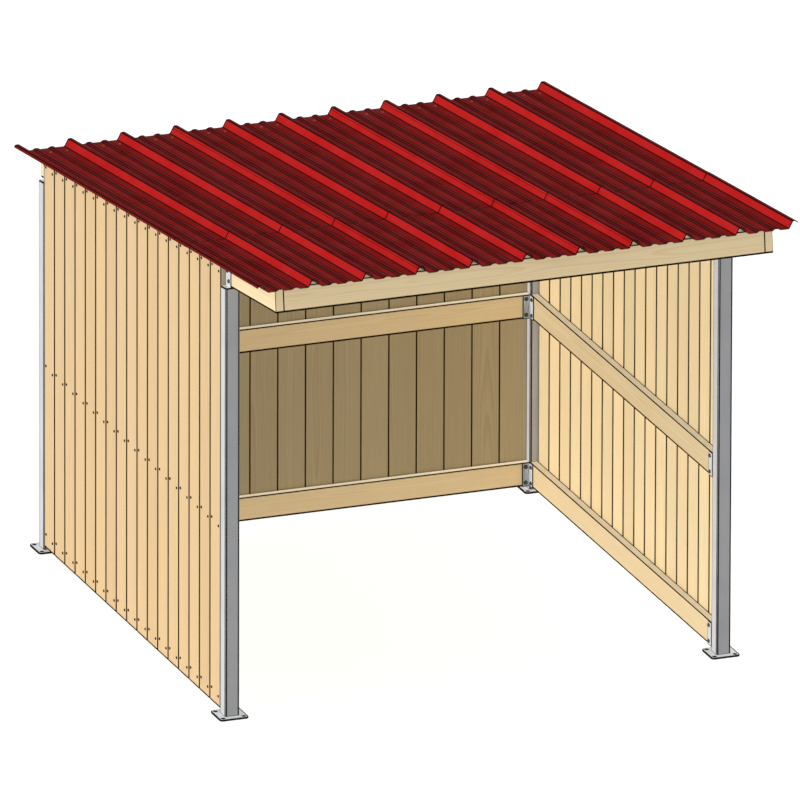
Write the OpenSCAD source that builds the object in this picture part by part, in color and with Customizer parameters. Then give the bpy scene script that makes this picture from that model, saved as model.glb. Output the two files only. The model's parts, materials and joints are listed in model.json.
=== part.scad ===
// Field shelter: boarded on three sides, open at the front, on four steel posts under a lean-to sheet roof.
// X runs across the front, Y from front to back, Z up. The origin is on the ground under the roof's middle.

/* [Frame] */
// Clear width between the posts
clear_width = 3000; // [2400:10:3900]
// Clear depth between the posts
clear_depth = 3000; // [2400:10:3600]
// Height of the rafters' underside over the middle of the front posts
front_height = 2668; // [2400:1:3000]
// Fall of the roof towards the back, in degrees
roof_slope = 6.5; // [4:0.5:9]

/* [Posts] */
// Side of the square post tube
post_width = 90; // [70:1:120]
// Wall of the post tube
post_wall = 4; // [2:0.5:8]
// Outside corner radius of the post tube
post_radius = 9; // [6:0.5:14]
// Side of the square base plate
plate_width = 180; // [160:1:260]
// Thickness of the base plate
plate_thick = 10; // [6:1:20]
// Corner radius of the base plate
plate_radius = 20; // [5:1:30]
// Diameter of the anchor holes in the base plate
anchor_hole = 14; // [8:0.5:20]
// Distance between the anchor holes along each side
anchor_spacing = 130; // [125:1:150]

/* [Head brackets] */
// Thickness of the cap plate on a post
cap_thick = 6; // [4:0.5:12]
// Step from the post's face in to the cap plate's edge
cap_inset = 3; // [1:0.5:6]
// Thickness of the upright plate beside the rafter
ear_thick = 5; // [3:0.5:10]
// Height of the upright plate over the cap
ear_height = 130; // [90:1:145]
// Height of the upright plate's lower bolt over the cap
ear_bolt_low = 37; // [25:1:45]
// Height from the lower bolt to the upper bolt
ear_bolt_rise = 56; // [30:1:70]
// Distance of the lower bolt in front of the post's middle, and of the upper bolt behind it
ear_bolt_side = 14; // [0:1:20]
// Diameter of the vent hole in the cap plate
vent_hole = 10; // [6:0.5:14]

/* [Timber] */
// Thickness of the rails, rafters and purlins
timber_thick = 50; // [40:1:70]
// Height of the rails, rafters and purlins
timber_height = 150; // [140:1:180]
// Step from the posts' inner faces back to the rails' inner faces
rail_setback = 3; // [2:0.5:5]
// Height of the lower rails' underside, and of the boards' lower ends
lower_rail_z = 34; // [20:1:80]
// Height of the upper rails' underside
upper_rail_z = 1095; // [900:1:1250]

/* [Rail lugs] */
// Thickness of the lugs that hold the rails on the posts
lug_thick = 6; // [4:0.5:10]
// Length of a lug along its rail
lug_length = 50; // [40:1:80]
// Distance between the two bolts of a lug
lug_bolt_spacing = 100; // [60:1:110]
// Distance from a lug's free edge to its bolts
lug_bolt_edge = 22; // [15:1:25]
// Diameter of the bolt holes in the lugs and head brackets
bolt_hole = 11; // [7:0.5:14]

/* [Boards] */
// Thickness of the wall boards
board_thick = 34; // [20:1:40]
// Cover width of a wall board, before the boards are spread evenly
board_cover = 176; // [120:1:240]
// Width of the groove at a board joint
groove_width = 8; // [3:0.5:12]
// Depth of the groove at a board joint
groove_depth = 3.5; // [1:0.5:8]
// Gap between the boards' upper ends and the roof sheets
board_top_gap = 4; // [2:1:15]

/* [Roof timbers] */
// Length of the rafters in front of the middle of the front posts
front_overhang = 790; // [500:1:1000]
// Length of the rafters behind the middle of the rear posts
rear_overhang = 100; // [95:1:300]

/* [Roof sheets] */
// Thickness of the sheets
sheet_thick = 0.75; // [0.5:0.05:1.2]
// Distance between the main ribs
rib_pitch = 333.33; // [300:0.01:370]
// Height of the main ribs
rib_height = 45; // [35:1:60]
// Width of a main rib's top
rib_top = 24; // [15:1:40]
// Run of a main rib's sloping side
rib_flank = 27; // [15:1:38]
// Height of the small ribs in the pans
bead_height = 9; // [3:0.5:14]
// Width of a small rib at its foot
bead_foot = 46; // [34:1:58]
// Width of a small rib's top
bead_top = 23; // [10:1:30]
// Distance between the two small ribs of a pan
bead_spacing = 98; // [75:1:120]
// Drop of the covering edge on the left of each sheet
lip_drop = 15; // [6:1:20]
// Drop of the covered edge on the right of each sheet
leg_drop = 15; // [8:1:28]
// Gap between sheets where they lap
lap_gap = 0.15; // [0.1:0.05:0.3]
// Overhang of the sheets past the rafters' ends
sheet_overhang = 80; // [40:1:150]
// Overhang of the outer main ribs past the posts' outer faces
side_overhang = 75; // [40:1:120]
// Length of the upper sheets, which lie in front
upper_sheet_length = 1416; // [1200:1:1800]
// Length over which the upper sheets cover the lower sheets
end_lap = 200; // [100:1:300]
// Distance from the upper sheets' lower edge up to the middle of the purlin below it
lap_purlin_step = 50; // [30:1:90]

/* [Hidden] */
$fn = 64;

// Clearance of the lugs round the posts' corners, and of the sheets over the timbers
weld_gap = 0.3;
seat_gap = 0.2;

// Post grid
post_x = (clear_width + post_width) / 2;
post_spacing_y = clear_depth + post_width;

// Walls, measured outwards from the posts' inner faces
rail_in_x = clear_width / 2 + rail_setback;
rail_out_x = rail_in_x + timber_thick;

// Roof slope, measured from the rafters' underside over the middle of the front posts
rear_post_s = post_spacing_y / cos(roof_slope);
rafter_front_s = -front_overhang;
rafter_rear_s = rear_post_s + rear_overhang;
rafter_length = rafter_rear_s - rafter_front_s;
sheet_front_s = rafter_front_s - sheet_overhang;
sheet_rear_s = rafter_rear_s + sheet_overhang;
upper_rear_s = sheet_front_s + upper_sheet_length;
lower_front_s = upper_rear_s - end_lap;
sheet_seat_n = timber_height + seat_gap;

// Purlins, by their middles along the slope
front_purlin_s = rafter_front_s + timber_thick / 2;
lap_purlin_s = upper_rear_s - lap_purlin_step;
rear_purlin_s = rafter_rear_s - timber_thick / 2;
middle_purlin_s = (lap_purlin_s + rear_purlin_s) / 2;

// Sheet section: a lapped rib rides up by one sheet and a gap, and the upper row by two
lap_lift = sheet_thick + lap_gap;
lap_tilt = atan(2 * lap_lift / (lower_front_s - rafter_front_s));
flank_run = rib_flank / rib_height;
edge_left = rib_top / 2 + lip_drop * flank_run;
edge_right = rib_top / 2 + leg_drop * flank_run;
pitch_count = round((clear_width + 2 * post_width + 2 * side_overhang) / rib_pitch);
first_rib_x = -(pitch_count * rib_pitch + edge_right - edge_left) / 2;
// Ribs at which the sheets of a row meet: full sheets of three pitches and one cut to fill
full_sheet = 3;
sheet_ends = [
    0,
    full_sheet,
    min(2 * full_sheet, pitch_count - full_sheet - 1),
    pitch_count - full_sheet,
    pitch_count
];

// Reach of the roof in front of and behind the middle of the front posts, which centres the part
rib_crest_n = sheet_seat_n + rib_height + lap_lift;
roof_front_y = sheet_front_s * cos(roof_slope) + sheet_seat_n * sin(roof_slope);
roof_rear_y = sheet_rear_s * cos(roof_slope) + rib_crest_n * sin(roof_slope);
front_post_y = -(roof_front_y + roof_rear_y) / 2;
rear_post_y = front_post_y + post_spacing_y;
wall_front_y = front_post_y + post_width / 2;
wall_rear_y = rear_post_y - post_width / 2;
back_rail_y = wall_rear_y + rail_setback;

// Height of the rafters' underside at a place between front and back
function underside_z(y) = front_height - (y - front_post_y) * tan(roof_slope);

// Larger than the whole shelter, for cutting
far = 2 * (clear_width + clear_depth + front_height);

// Colours
steel = [0.66, 0.67, 0.68];
timber = [0.93, 0.84, 0.64];
boards = [0.96, 0.84, 0.62];
red = [0.62, 0.07, 0.06];

// Helpers

// Right-hand pieces are drawn as they are, left-hand ones mirrored
module on_side(side) {
    if (side < 0)
        mirror([1, 0, 0]) children();
    else
        children();
}

// Frame of the roof: Y runs down the slope from the front posts, Z stands square to it
module on_slope() {
    translate([0, front_post_y, front_height]) rotate([-roof_slope, 0, 0]) children();
}

// Everything between two planes parallel to the roof
module slope_slab(from_n, to_n) {
    on_slope() translate([-far / 2, -far / 2, from_n]) cube([far, far, to_n - from_n]);
}

// Cuts off what stands higher than a plane parallel to the roof
module cut_to_slope(n) {
    difference() {
        children();
        slope_slab(n, far);
    }
}

module rounded_square(size, radius) {
    reach = size / 2 - radius;
    square([size, 2 * reach], center = true);
    square([2 * reach, size], center = true);
    for (x = [-reach, reach], y = [-reach, reach])
        translate([x, y]) circle(radius);
}

// Posts

module post(side, y) {
    color(steel) cut_to_slope(-cap_thick)
        translate([side * post_x, y, plate_thick]) linear_extrude(2 * front_height) difference() {
            rounded_square(post_width, post_radius);
            rounded_square(post_width - 2 * post_wall, post_radius - post_wall);
        }
}

module base_plate(side, y) {
    hole_at = anchor_spacing / 2;
    color(steel) translate([side * post_x, y, 0]) linear_extrude(plate_thick) difference() {
        rounded_square(plate_width, plate_radius);
        for (hx = [-hole_at, hole_at], hy = [-hole_at, hole_at])
            translate([hx, hy]) circle(d = anchor_hole);
    }
}

// Cap plate with an upright plate that the rafter is bolted to, and a vent hole beside it
module head_bracket(side, y) {
    cap_size = post_width - 2 * cap_inset;
    vent_x = (rail_out_x + ear_thick + post_x + cap_size / 2) / 2;
    color(steel) on_side(side) difference() {
        union() {
            intersection() {
                slope_slab(-cap_thick, 0);
                translate([post_x - cap_size / 2, y - cap_size / 2, 0]) cube([cap_size, cap_size, far]);
            }
            intersection() {
                slope_slab(-cap_thick, ear_height);
                translate([rail_out_x, y - cap_size / 2, 0]) cube([ear_thick, cap_size, far]);
            }
        }
        translate([vent_x, y, underside_z(y) - 2 * cap_thick]) cylinder(d = vent_hole, h = 3 * cap_thick);
        for (step = [-1, 1])
            translate([
                rail_out_x - 1,
                y + step * ear_bolt_side,
                underside_z(y) + ear_bolt_low + (step + 1) / 2 * ear_bolt_rise
            ]) rotate([0, 90, 0]) cylinder(d = bolt_hole, h = ear_thick + 2);
    }
}

// Lugs

// Plate on the inner face of a side rail, running back from a post's corner at the origin, with a tail past it
module lug_plate(tail) {
    difference() {
        translate([rail_setback - lug_thick, -tail, 0]) cube([lug_thick, lug_length + tail, timber_height]);
        for (z = [-lug_bolt_spacing / 2, lug_bolt_spacing / 2])
            translate([rail_setback + 1, lug_length - lug_bolt_edge, timber_height / 2 + z])
                rotate([0, -90, 0]) cylinder(d = bolt_hole, h = lug_thick + 2);
    }
}

// Leaves a welding gap round the post that stands outwards and forwards of the corner at the origin
module clear_of_post() {
    difference() {
        children();
        translate([post_width / 2, -post_width / 2, -1]) linear_extrude(timber_height + 2)
            rounded_square(post_width + 2 * weld_gap, post_radius + weld_gap);
    }
}

// Two lugs at a front post, one for each side rail
module rail_lugs(side) {
    color(steel) on_side(side)
        for (z = [lower_rail_z, upper_rail_z])
            translate([clear_width / 2, wall_front_y, z]) clear_of_post() lug_plate(post_radius);
}

// Two angles at a rear post, each for a side rail and a back rail
module corner_lugs(side) {
    color(steel) on_side(side)
        for (z = [lower_rail_z, upper_rail_z])
            translate([clear_width / 2, wall_rear_y, z]) mirror([0, 1, 0]) clear_of_post() {
                lug_plate(rail_setback);
                mirror([1, 1, 0]) lug_plate(rail_setback);
            }
}

// Timbers

module side_rail(side, z) {
    color(timber) on_side(side) translate([rail_in_x, wall_front_y, z])
        cube([timber_thick, clear_depth, timber_height]);
}

module back_rail(z) {
    color(timber) translate([-clear_width / 2, back_rail_y, z])
        cube([clear_width, timber_thick, timber_height]);
}

// Rail at the top of the back wall, between the rafters, bevelled to the roof
module back_top_rail() {
    color(timber) cut_to_slope(timber_height)
        translate([-rail_in_x, back_rail_y, underside_z(back_rail_y)])
            cube([2 * rail_in_x, timber_thick, 2 * timber_height]);
}

module rafter(side) {
    color(timber) on_slope() on_side(side) translate([rail_in_x, rafter_front_s, 0])
        cube([timber_thick, rafter_length, timber_height]);
}

module purlin(s) {
    color(timber) on_slope() translate([-rail_in_x, s - timber_thick / 2, 0])
        cube([2 * rail_in_x, timber_thick, timber_height]);
}

// Walls

// Plan of a boarded wall along X, inner face on Y = 0, grooved on both faces at each board joint
module boarded_plan(length) {
    count = round(length / board_cover);
    cover = length / count;
    function face(y, inwards) = [
        for (i = [1 : count - 1], step = [-1, 0, 1])
            [i * cover + step * groove_width / 2, y + (step == 0 ? inwards * groove_depth : 0)]
    ];
    inner = face(0, 1);
    outer = face(board_thick, -1);
    last = len(outer) - 1;
    polygon(concat(
        [[0, 0]], inner, [[length, 0], [length, board_thick]],
        [for (i = [last : -1 : 0]) outer[i]], [[0, board_thick]]
    ));
}

module boarded_wall(length) {
    linear_extrude(2 * front_height) boarded_plan(length);
}

module side_wall(side) {
    color(boards) cut_to_slope(timber_height - board_top_gap) on_side(side)
        translate([rail_out_x, wall_rear_y, lower_rail_z]) rotate([0, 0, -90]) boarded_wall(clear_depth);
}

module back_wall() {
    color(boards) cut_to_slope(timber_height - board_top_gap)
        translate([-clear_width / 2, back_rail_y + timber_thick, lower_rail_z])
            boarded_wall(clear_width);
}

// Roof sheets

function rib_x(i) = first_rib_x + i * rib_pitch;

// Upper line of one small rib, one main rib, and the left and right edges of a sheet
function bead(x) = [
    [x - bead_foot / 2, 0], [x - bead_top / 2, bead_height],
    [x + bead_top / 2, bead_height], [x + bead_foot / 2, 0]
];
function rib(x) = [
    [x - rib_top / 2 - rib_flank, 0], [x - rib_top / 2, rib_height],
    [x + rib_top / 2, rib_height], [x + rib_top / 2 + rib_flank, 0]
];
function left_edge(x, lift) = [
    [x - edge_left, rib_height + lift - lip_drop], [x - rib_top / 2, rib_height + lift],
    [x + rib_top / 2, rib_height + lift], [x + rib_top / 2 + (rib_height + lift) * flank_run, 0]
];
function right_edge(x) = [
    [x - rib_top / 2 - rib_flank, 0], [x - rib_top / 2, rib_height],
    [x + rib_top / 2, rib_height], [x + edge_right, rib_height - leg_drop]
];
// One pan with its two small ribs
function pan(i) = [
    for (step = [-1, 1]) each bead(rib_x(i) + (rib_pitch + step * bead_spacing) / 2)
];
function sheet_line(from, to) = concat(
    left_edge(rib_x(from), from > 0 ? lap_lift : 0),
    [for (i = [from : to - 1]) each concat(pan(i), i + 1 < to ? rib(rib_x(i + 1)) : right_edge(rib_x(to)))]
);

// Section of the sheet with a given place in its row
module sheet_section(place) {
    line = sheet_line(sheet_ends[place - 1], sheet_ends[place]);
    last = len(line) - 1;
    polygon(concat(
        [for (p = line) [p.x, p.y + sheet_thick]],
        [for (i = [last : -1 : 0]) line[i]]
    ));
}

module roof_sheet(place, from_s, to_s) {
    translate([0, to_s, 0]) rotate([90, 0, 0]) linear_extrude(to_s - from_s) sheet_section(place);
}

// Upper sheets lie on the front purlin and tilt up on to the lower sheets
module upper_roof_sheet(place) {
    color(red) on_slope() translate([0, rafter_front_s, sheet_seat_n]) rotate([lap_tilt, 0, 0])
        roof_sheet(place, sheet_front_s - rafter_front_s, upper_rear_s - rafter_front_s);
}

module lower_roof_sheet(place) {
    color(red) on_slope() translate([0, 0, sheet_seat_n]) roof_sheet(place, lower_front_s, sheet_rear_s);
}

post(-1, front_post_y);  // front_left_post
post(1, front_post_y);  // front_right_post
post(-1, rear_post_y);  // rear_left_post
post(1, rear_post_y);  // rear_right_post
base_plate(-1, front_post_y);  // front_left_base_plate
base_plate(1, front_post_y);  // front_right_base_plate
base_plate(-1, rear_post_y);  // rear_left_base_plate
base_plate(1, rear_post_y);  // rear_right_base_plate
head_bracket(-1, front_post_y);  // front_left_head_bracket
head_bracket(1, front_post_y);  // front_right_head_bracket
head_bracket(-1, rear_post_y);  // rear_left_head_bracket
head_bracket(1, rear_post_y);  // rear_right_head_bracket
rail_lugs(-1);  // front_left_rail_lugs
rail_lugs(1);  // front_right_rail_lugs
corner_lugs(-1);  // rear_left_corner_lugs
corner_lugs(1);  // rear_right_corner_lugs
side_rail(-1, lower_rail_z);  // left_lower_rail
side_rail(-1, upper_rail_z);  // left_upper_rail
side_rail(1, lower_rail_z);  // right_lower_rail
side_rail(1, upper_rail_z);  // right_upper_rail
back_rail(lower_rail_z);  // back_lower_rail
back_rail(upper_rail_z);  // back_upper_rail
back_top_rail();
rafter(-1);  // left_rafter
rafter(1);  // right_rafter
purlin(front_purlin_s);  // front_purlin
purlin(lap_purlin_s);  // lap_purlin
purlin(middle_purlin_s);  // middle_purlin
purlin(rear_purlin_s);  // rear_purlin
side_wall(-1);  // left_wall
side_wall(1);  // right_wall
back_wall();
upper_roof_sheet(1);  // upper_roof_sheet_1
upper_roof_sheet(2);  // upper_roof_sheet_2
upper_roof_sheet(3);  // upper_roof_sheet_3
upper_roof_sheet(4);  // upper_roof_sheet_4
lower_roof_sheet(1);  // lower_roof_sheet_1
lower_roof_sheet(2);  // lower_roof_sheet_2
lower_roof_sheet(3);  // lower_roof_sheet_3
lower_roof_sheet(4);  // lower_roof_sheet_4
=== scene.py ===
"""Looks of a field shelter: boards, timbers, steel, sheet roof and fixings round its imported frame.

Everything is in metres in the frame's own axes: X across the front, Y from front to back, Z up.
"""

from __future__ import annotations

import json
import logging
import math
import random
from collections.abc import Callable, Iterable, Iterator
from contextlib import contextmanager
from dataclasses import dataclass
from enum import Enum, IntEnum

import bmesh
import bpy
import numpy as np
from mathutils import Matrix, Vector

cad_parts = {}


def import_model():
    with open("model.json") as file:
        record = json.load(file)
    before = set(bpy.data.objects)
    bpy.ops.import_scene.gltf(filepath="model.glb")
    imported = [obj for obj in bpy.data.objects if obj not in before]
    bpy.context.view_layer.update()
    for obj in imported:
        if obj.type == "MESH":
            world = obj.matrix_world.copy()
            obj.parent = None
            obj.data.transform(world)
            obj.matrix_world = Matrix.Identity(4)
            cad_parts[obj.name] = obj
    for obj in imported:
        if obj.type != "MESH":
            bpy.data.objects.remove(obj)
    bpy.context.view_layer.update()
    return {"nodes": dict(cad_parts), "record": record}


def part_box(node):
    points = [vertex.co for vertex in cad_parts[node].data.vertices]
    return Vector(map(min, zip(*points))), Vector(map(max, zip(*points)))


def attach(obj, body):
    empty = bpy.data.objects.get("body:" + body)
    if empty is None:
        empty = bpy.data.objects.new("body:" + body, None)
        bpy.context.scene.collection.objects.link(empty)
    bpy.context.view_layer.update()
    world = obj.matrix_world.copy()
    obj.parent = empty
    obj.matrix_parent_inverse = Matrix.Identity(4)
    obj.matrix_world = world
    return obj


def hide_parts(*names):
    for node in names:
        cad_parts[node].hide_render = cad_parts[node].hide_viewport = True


LOG = logging.getLogger("field_shelter")
BODY = "root"
SEED = 17
NEAR = 1e-5
SQUARE = 0.9
STRAIGHT = 0.99
HALF = 0.5
GRAIN_RUN = 40.0
BUMP_STRENGTH = 0.5
SMOOTH = math.radians(25)
WHITE = (1.0, 1.0, 1.0, 1.0)
Colour = tuple[float, float, float]
Place = tuple[Vector, Vector]


class Axis(IntEnum):
    """An axis, by its place in a vector."""

    X = 0
    Y = 1
    Z = 2

    @property
    def unit(self) -> Vector:
        """Direction along the axis."""
        return Vector([float(axis == self) for axis in Axis])


class Side(Enum):
    """A wall of the shelter, as seen from the open front."""

    LEFT = "left"
    RIGHT = "right"
    BACK = "back"

    @property
    def outwards(self) -> Vector:
        """Direction out of the shelter through this wall."""
        return {Side.LEFT: -Axis.X.unit, Side.RIGHT: Axis.X.unit, Side.BACK: Axis.Y.unit}[self]


class Slot(Enum):
    """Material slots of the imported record."""

    STEEL = "galvanised_steel"
    TIMBER = "framing_timber"
    BOARDS = "wall_boards"
    SHEET = "roof_sheet"


class SteelKind(Enum):
    """Kinds of steel piece, by the end of their nodes' names."""

    POST = "_post"
    BASE_PLATE = "_base_plate"
    HEAD_BRACKET = "_head_bracket"
    RAIL_LUGS = "_rail_lugs"
    CORNER_LUGS = "_corner_lugs"


class Socket(Enum):
    """Kinds of socket on a node group."""

    VECTOR = "NodeSocketVector"
    VALUE = "NodeSocketFloat"
    COLOUR = "NodeSocketColor"


class BoardPlace(IntEnum):
    """Material places of a board."""

    FACE = 0
    JOINT = 1
    INSIDE = 2
    END = 3


class TimberPlace(IntEnum):
    """Material places of a timber."""

    FACE = 0
    EDGE = 1
    TOP = 2


class SheetPlace(IntEnum):
    """Material places of a roof sheet."""

    COAT = 0
    FOLD = 1
    FLAT = 2
    BACK = 3


class SteelPlace(IntEnum):
    """Material places of a steel piece."""

    FACE = 0
    EDGE = 1
    FRONT = 2


# Modelling helpers


def deselect_all() -> None:
    """Leaves edit mode and clears the selection."""
    if bpy.context.mode != "OBJECT":
        bpy.ops.object.mode_set(mode="OBJECT")
    bpy.ops.object.select_all(action="DESELECT")


def pick(obj: bpy.types.Object) -> None:
    """Makes one object the only selected one and the active one."""
    deselect_all()
    obj.select_set(True)
    bpy.context.view_layer.objects.active = obj


@contextmanager
def edit_mode(obj: bpy.types.Object) -> Iterator[None]:
    """Opens an object in edit mode with nothing selected.

    Args:
        obj: The mesh object to edit.
    """
    pick(obj)
    bpy.ops.object.mode_set(mode="EDIT")
    bpy.ops.mesh.select_all(action="DESELECT")
    yield
    bpy.ops.object.mode_set(mode="OBJECT")


def select_faces(obj: bpy.types.Object, test: Callable[[Vector, Vector], bool]) -> None:
    """Selects faces in edit mode.

    Args:
        obj: The object in edit mode.
        test: Says whether a face with this centre and normal is selected.
    """
    bpy.ops.mesh.select_mode(type="FACE")
    bpy.ops.mesh.select_all(action="DESELECT")
    mesh = bmesh.from_edit_mesh(obj.data)
    for face in mesh.faces:
        face.select_set(test(face.calc_center_median(), face.normal))
    bmesh.update_edit_mesh(obj.data)


def select_edges(obj: bpy.types.Object, test: Callable[[bmesh.types.BMEdge], bool]) -> None:
    """Selects edges in edit mode.

    Args:
        obj: The object in edit mode.
        test: Says whether an edge is selected.
    """
    bpy.ops.mesh.select_mode(type="EDGE")
    bpy.ops.mesh.select_all(action="DESELECT")
    mesh = bmesh.from_edit_mesh(obj.data)
    for edge in mesh.edges:
        edge.select_set(test(edge))
    bmesh.update_edit_mesh(obj.data)


def select_points(obj: bpy.types.Object, test: Callable[[Vector], bool]) -> None:
    """Selects points in edit mode.

    Args:
        obj: The object in edit mode.
        test: Says whether a point at this place is selected.
    """
    bpy.ops.mesh.select_mode(type="VERT")
    bpy.ops.mesh.select_all(action="DESELECT")
    mesh = bmesh.from_edit_mesh(obj.data)
    for point in mesh.verts:
        point.select_set(test(point.co))
    mesh.select_flush_mode()
    bmesh.update_edit_mesh(obj.data)


def cut(point: Vector, normal: Vector, trim: bool = False) -> None:
    """Cuts all of the mesh in edit mode along a plane.

    Args:
        point: A point on the plane.
        normal: The plane's normal.
        trim: Takes away what lies beyond the plane and closes the cut.
    """
    bpy.ops.mesh.select_all(action="SELECT")
    bpy.ops.mesh.bisect(plane_co=point, plane_no=normal, use_fill=trim, clear_outer=trim)


def cut_square(axis: Axis, *places: float, trim: bool = False) -> None:
    """Cuts all of the mesh in edit mode square to an axis, at each place along it."""
    for place in places:
        cut(axis.unit * place, axis.unit, trim)


def faces_up(at: Vector, out: Vector) -> bool:
    """Says whether a face looks up."""
    return out.z > SQUARE


def middle(edge: bmesh.types.BMEdge) -> Vector:
    """Returns the middle of an edge."""
    return (edge.verts[0].co + edge.verts[1].co) / 2


def runs_along(edge: bmesh.types.BMEdge, axis: Axis) -> bool:
    """Says whether an edge runs along an axis."""
    span = edge.verts[1].co - edge.verts[0].co
    return abs(span[axis]) > STRAIGHT * span.length


def add_block(name: str, low: Vector, high: Vector) -> bpy.types.Object:
    """Adds a block between two corners.

    Args:
        name: The piece's name.
        low: Its lowest corner.
        high: Its highest corner.

    Returns:
        The new object, with its place in its mesh.
    """
    deselect_all()
    bpy.ops.mesh.primitive_cube_add(size=1.0, location=(low + high) / 2, scale=high - low)
    obj = bpy.context.object
    obj.name = name
    bpy.ops.object.transform_apply(location=True, rotation=True, scale=True)
    return obj


def add_drum(
    sides: int, radius: float, low: float, high: float, ease: float, segments: int = 1
) -> bpy.types.Object:
    """Adds an upright drum on the Z axis and eases its top edge.

    Args:
        sides: How many sides it has.
        radius: Its radius to the corners.
        low: The height of its foot.
        high: The height of its top.
        ease: How much is taken off its top edge.
        segments: How many steps ease the edge.

    Returns:
        The new object, with its place in its mesh.
    """
    deselect_all()
    centre = (0.0, 0.0, (low + high) / 2)
    bpy.ops.mesh.primitive_cylinder_add(vertices=sides, radius=radius, depth=high - low, location=centre)
    drum = bpy.context.object
    bpy.ops.object.transform_apply(location=True, rotation=True, scale=True)
    with edit_mode(drum):
        select_faces(drum, faces_up)
        bpy.ops.mesh.bevel(offset=ease, segments=segments)
    return drum


def copy_of(obj: bpy.types.Object) -> bpy.types.Object:
    """Returns a copy of an object with its own mesh."""
    twin = obj.copy()
    twin.data = obj.data.copy()
    bpy.context.scene.collection.objects.link(twin)
    return twin


def settle(obj: bpy.types.Object, matrix: Matrix) -> None:
    """Puts an object in place and leaves the place in its mesh.

    Args:
        obj: The object, modelled round the origin.
        matrix: Where it goes.
    """
    pick(obj)
    obj.matrix_world = matrix
    bpy.ops.object.transform_apply(location=True, rotation=True, scale=True)


def join(pieces: list[bpy.types.Object], name: str) -> bpy.types.Object:
    """Joins objects into one.

    Args:
        pieces: The objects, of which the first stays.
        name: The joined piece's name.

    Returns:
        The joined object.
    """
    deselect_all()
    for piece in pieces:
        piece.select_set(True)
    bpy.context.view_layer.objects.active = pieces[0]
    bpy.ops.object.join()
    pieces[0].name = name
    return pieces[0]


def spread(master: bpy.types.Object, name: str, places: Iterable[Place]) -> bpy.types.Object:
    """Copies a fixing to many places and joins the copies; the master stays where it is.

    Args:
        master: The fixing, standing on the origin along +Z.
        name: The joined piece's name.
        places: Where each copy stands and the way it points.

    Returns:
        The joined object.
    """
    copies = []
    for point, direction in places:
        twin = copy_of(master)
        turn = direction.to_track_quat("Z", "Y").to_matrix().to_4x4()
        twin.data.transform(Matrix.Translation(point) @ turn)
        copies.append(twin)
    return join(copies, name)


def set_grain(obj: bpy.types.Object, origin: Vector, axis: Axis, draw: random.Random) -> None:
    """Gives a timber its own grain: places in its own frame, with the grain along the third axis.

    Args:
        obj: The timber, before it is put in place.
        origin: The point that the grain is laid out from.
        axis: The axis along which its grain runs.
        draw: Where its tone and the place of its grain come from.
    """
    count = len(obj.data.vertices)
    points = np.empty(count * 3, np.float32)
    obj.data.vertices.foreach_get("co", points)
    local = points.reshape(count, 3) - np.array(origin, np.float32)
    order = [int(other) for other in Axis if other != axis] + [int(axis)]
    shift = np.array([0.0, 0.0, draw.uniform(0.0, GRAIN_RUN)], np.float32)
    grain = obj.data.attributes.new("grain", "FLOAT_VECTOR", "POINT")
    grain.data.foreach_set("vector", (local[:, order] + shift).ravel())
    tone = obj.data.attributes.new("tone", "FLOAT", "POINT")
    tone.data.foreach_set("value", np.full(count, draw.random(), np.float32))


def hand_over(obj: bpy.types.Object, slot: Slot, *nodes: str) -> None:
    """Ties a finished piece to the frame.

    Args:
        obj: The finished piece.
        slot: The record's material slot; not used.
        nodes: The frame's nodes that it stands for.
    """
    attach(obj, BODY)
    if nodes:
        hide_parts(*nodes)
    LOG.info("%s: %d faces", obj.name, len(obj.data.polygons))


def inner_x(low: Vector, high: Vector) -> float:
    """Returns where the side of a box that faces the shelter's middle lies across."""
    return high.x if low.x < 0.0 else low.x


def rail_level(side: str, rail: str) -> float:
    """Returns the height of a rail's middle."""
    low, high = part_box(f"{side}_{rail}_rail")
    return (low.z + high.z) / 2


# Shader helpers


def srgb(red: int, green: int, blue: int) -> Colour:
    """Returns the linear colour of screen values from 0 to 255."""
    def linear(value: int) -> float:
        """Returns one linear value."""
        share = value / 255
        return share / 12.92 if share <= 0.04045 else ((share + 0.055) / 1.055) ** 2.4
    return linear(red), linear(green), linear(blue)


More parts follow.
